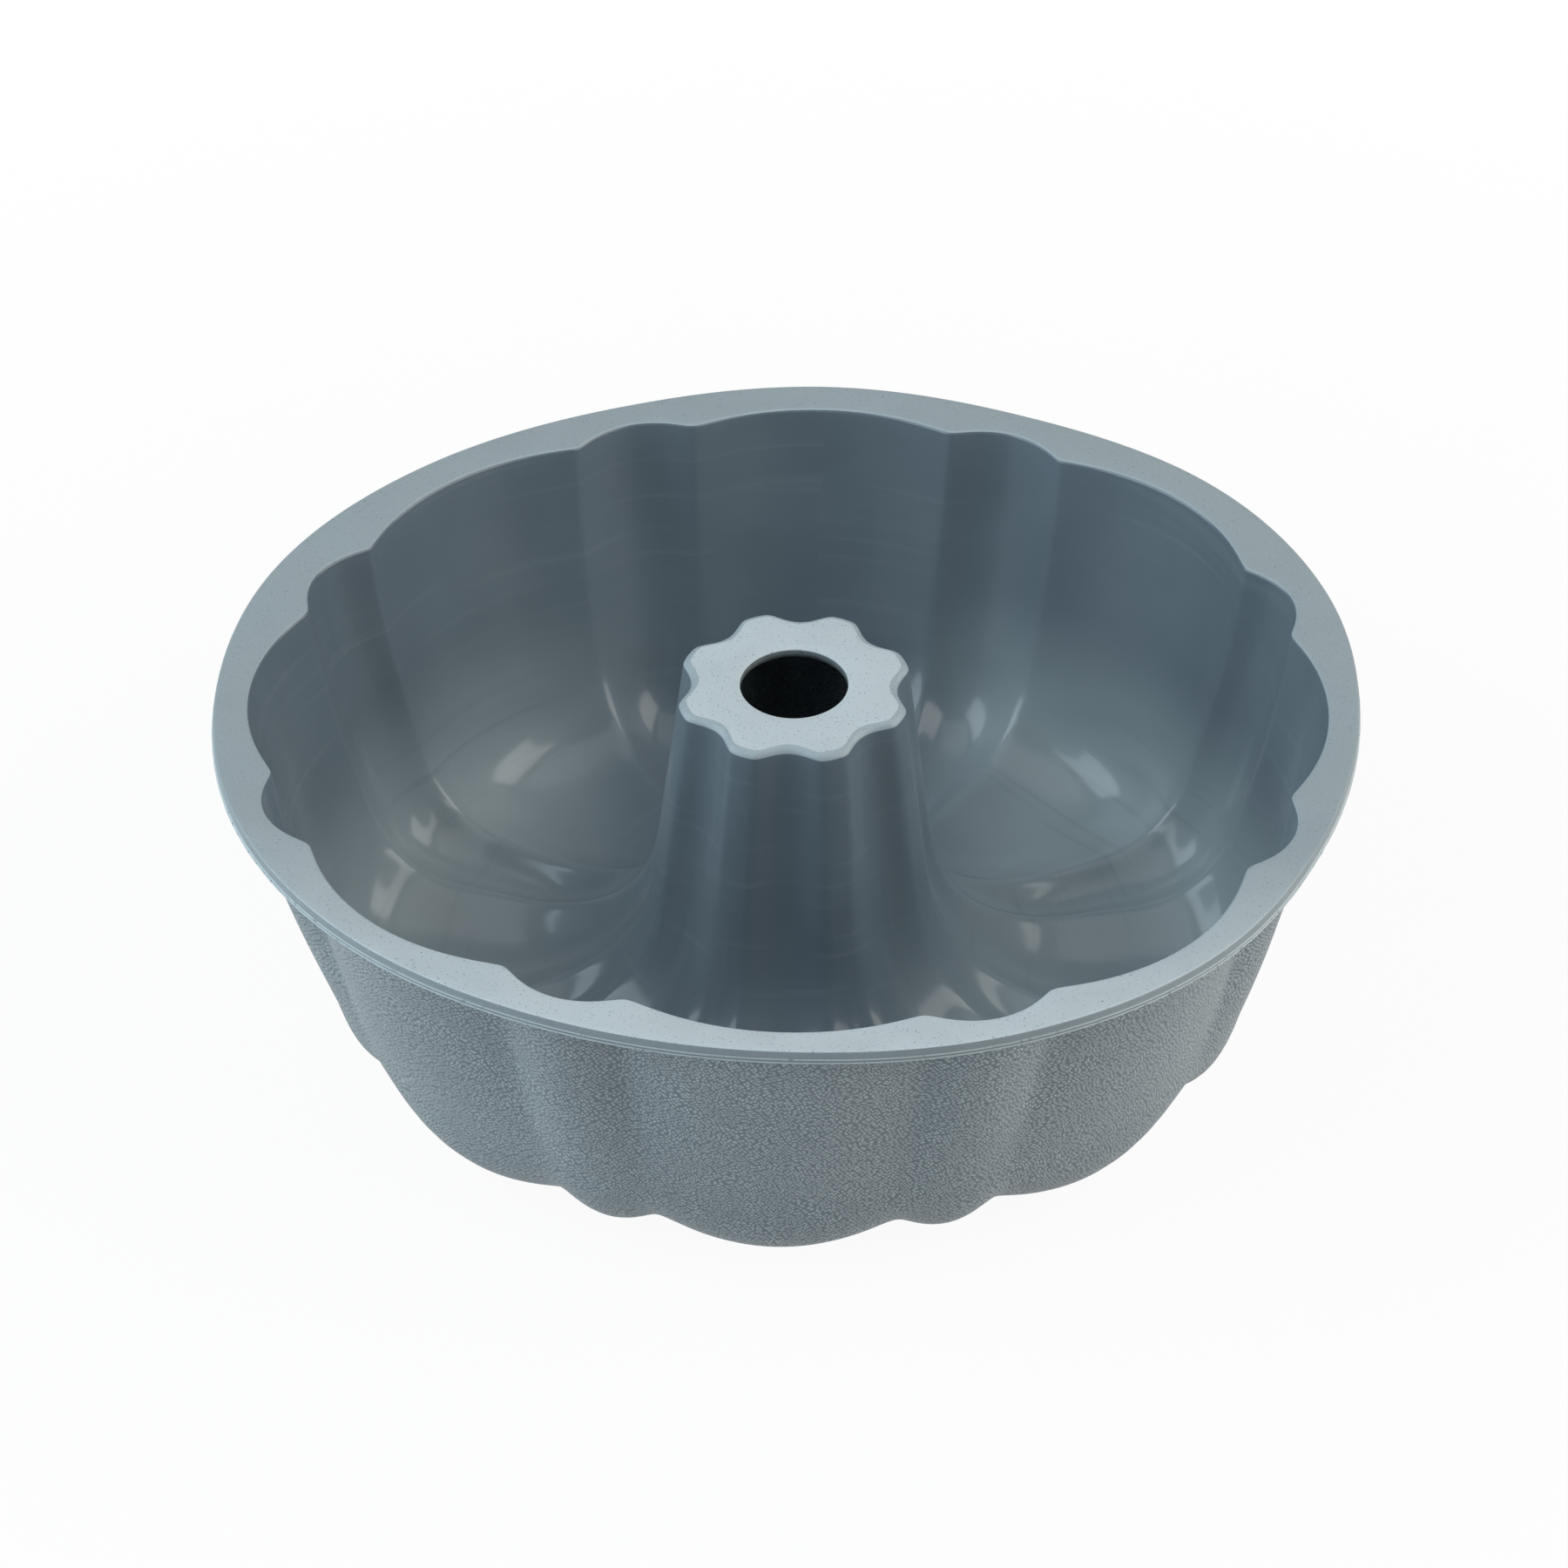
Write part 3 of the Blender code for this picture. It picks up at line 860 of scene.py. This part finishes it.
def edge_finish():
    """The flange's edge: smoother and darker than its top, with pale specks and dark clouds."""
    finish = Finish("silicone_edge")
    speck = finish.noise(*EDGE_SPECK_NOISE)
    cloud = finish.noise(*EDGE_CLOUD_NOISE)
    colour = finish.blend(finish.spread(speck, *EDGE_SPECK_RANGE), EDGE_COLOUR, MATT_COLOUR)
    colour = finish.blend(finish.spread(cloud, *EDGE_CLOUD_RANGE), colour, GRAIN_PAINTED_SHADE_AND_CLOUD_COLOUR)
    normal = finish.raise_by(finish.noise(*EDGE_BUMP_NOISE), EDGE_BUMP_DEPTH)
    return finish.complete(colour, finish.spread(cloud, *EDGE_ROUGHNESS_RANGE), normal)


def flash_finish():
    """The thin torn flash on the parting line, paler where it is stretched."""
    finish = Finish("silicone_flash")
    torn = finish.noise(*FLASH_TORN_NOISE)
    colour = finish.blend(finish.spread(torn, *FLASH_TORN_RANGE), FLASH_COLOUR, EDGE_COLOUR)
    normal = finish.raise_by(finish.noise(*FLASH_BUMP_NOISE), FLASH_BUMP_DEPTH)
    return finish.complete(colour, finish.spread(torn, *FLASH_ROUGHNESS_RANGE), normal)


def direction(azimuth, elevation):
    """Unit vector at these angles in radians: azimuth 0 is towards -Y, and a quarter turn +X."""
    level = math.cos(elevation)
    return Vector((math.sin(azimuth) * level, -math.cos(azimuth) * level, math.sin(elevation)))


def build_camera():
    """The camera, aimed at the middle of the mouth and then turned a little."""
    data = bpy.data.cameras.new("camera")
    data.sensor_fit = "HORIZONTAL"
    data.sensor_width = SENSOR_WIDTH
    data.lens = LENS
    camera = bpy.data.objects.new("camera", data)
    bpy.context.scene.collection.objects.link(camera)
    outward = direction(CAMERA_AZIMUTH, CAMERA_ELEVATION)
    facing = (-outward).to_track_quat("-Z", "Y").to_matrix()
    nudge = Matrix.Rotation(CAMERA_ROLL, 3, "Z") @ Matrix.Rotation(CAMERA_TILT, 3, "X")
    nudge = nudge @ Matrix.Rotation(CAMERA_PAN, 3, "Y")
    place = Vector((0, 0, RIM_HEIGHT)) + outward * CAMERA_DISTANCE
    camera.matrix_world = Matrix.LocRotScale(place, (facing @ nudge).to_quaternion(), None)
    bpy.context.scene.camera = camera


def soft_box(name, azimuth, elevation, size, radiance, colour):
    """A soft box that faces the pan, of this radiance all over its face."""
    data = bpy.data.lights.new(name, "AREA")
    data.shape = "RECTANGLE"
    data.size, data.size_y = size
    data.energy = radiance * math.pi * size[0] * size[1]
    data.color = colour
    lamp = bpy.data.objects.new(name, data)
    outward = direction(math.radians(azimuth), math.radians(elevation))
    lamp.location = Vector((0, 0, RIM_HEIGHT)) + outward * LIGHT_DISTANCE
    lamp.rotation_euler = (-outward).to_track_quat("-Z", "Y").to_euler()
    bpy.context.scene.collection.objects.link(lamp)


def build_world():
    """Weak light from all round, and white where the camera looks past the floor."""
    world = bpy.data.worlds.new("world")
    world.use_nodes = True
    tree = world.node_tree
    weak = tree.nodes["Background"]
    weak.inputs["Color"].default_value = WORLD_COLOUR
    white = tree.nodes.new("ShaderNodeBackground")
    white.inputs["Color"].default_value = WHITE
    seen = tree.nodes.new("ShaderNodeLightPath").outputs["Is Camera Ray"]
    mix = mix_shaders(tree, seen, weak.outputs["Background"], white.outputs["Background"])
    feed(tree, tree.nodes["World Output"].inputs["Surface"], mix)
    bpy.context.scene.world = world


def floor_material():
    """A lit white floor that is seen, and reflected, mostly as plain white."""
    material = bpy.data.materials.new("floor")
    material.use_nodes = True
    tree = material.node_tree
    lit = tree.nodes["Principled BSDF"]
    lit.inputs["Base Color"].default_value = FLOOR_COLOUR
    lit.inputs["Roughness"].default_value = FLOOR_ROUGHNESS
    lit.inputs["Specular IOR Level"].default_value = 0.0
    path = tree.nodes.new("ShaderNodeLightPath")
    share = path.outputs["Is Camera Ray"]
    for name in ("Is Glossy Ray", "Is Transmission Ray"):
        share = calculate(tree, "MAXIMUM", share, path.outputs[name])
    radius = tree.nodes.new("ShaderNodeVectorMath")
    radius.operation = "LENGTH"
    feed(tree, radius.inputs[0], tree.nodes.new("ShaderNodeTexCoord").outputs["Object"])
    for numbers in (UNDER_PAN_RANGE, ROUND_PAN_RANGE):
        own = map_range(tree, "LINEAR", radius.outputs["Value"], *numbers)
        share = calculate(tree, "MULTIPLY", share, own)
    white = tree.nodes.new("ShaderNodeEmission")
    white.inputs["Color"].default_value = WHITE
    mix = mix_shaders(tree, share, lit.outputs["BSDF"], white.outputs["Emission"])
    feed(tree, tree.nodes["Material Output"].inputs["Surface"], mix)
    return material


def build_floor():
    """The floor, a hair below the pan."""
    half = FLOOR_SIZE / 2
    mesh = bpy.data.meshes.new("floor")
    corners = [(-half, -half), (half, -half), (half, half), (-half, half)]
    mesh.from_pydata([(x, y, -FLOOR_CLEARANCE) for x, y in corners], [], [(0, 1, 2, 3)])
    mesh.materials.append(floor_material())
    floor = bpy.data.objects.new("floor", mesh)
    bpy.context.scene.collection.objects.link(floor)


def main():
    """The studio, and the pan in its finishes in place of the CAD node."""
    build_camera()
    build_world()
    build_floor()
    soft_box("right_light", **RIGHT_LIGHT)
    soft_box("left_light", **LEFT_LIGHT)
    soft_box("overhead_light", **OVERHEAD_LIGHT)
    pan = build_pan()
    for material in (
        matt_finish("silicone_matt", FLANGE_PAINTED_LIGHT_FADE),
        gloss_finish(),
        grain_finish(),
        edge_finish(),
        flash_finish(),
        rounded_finish(),
        matt_finish("silicone_tube_matt", TUBE_PAINTED_LIGHT_FADE),
    ):
        pan.data.materials.append(material)
    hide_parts("silicone_pan")
    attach(pan, "root")


main()
bpy.context.scene.view_settings.view_transform = "Standard"
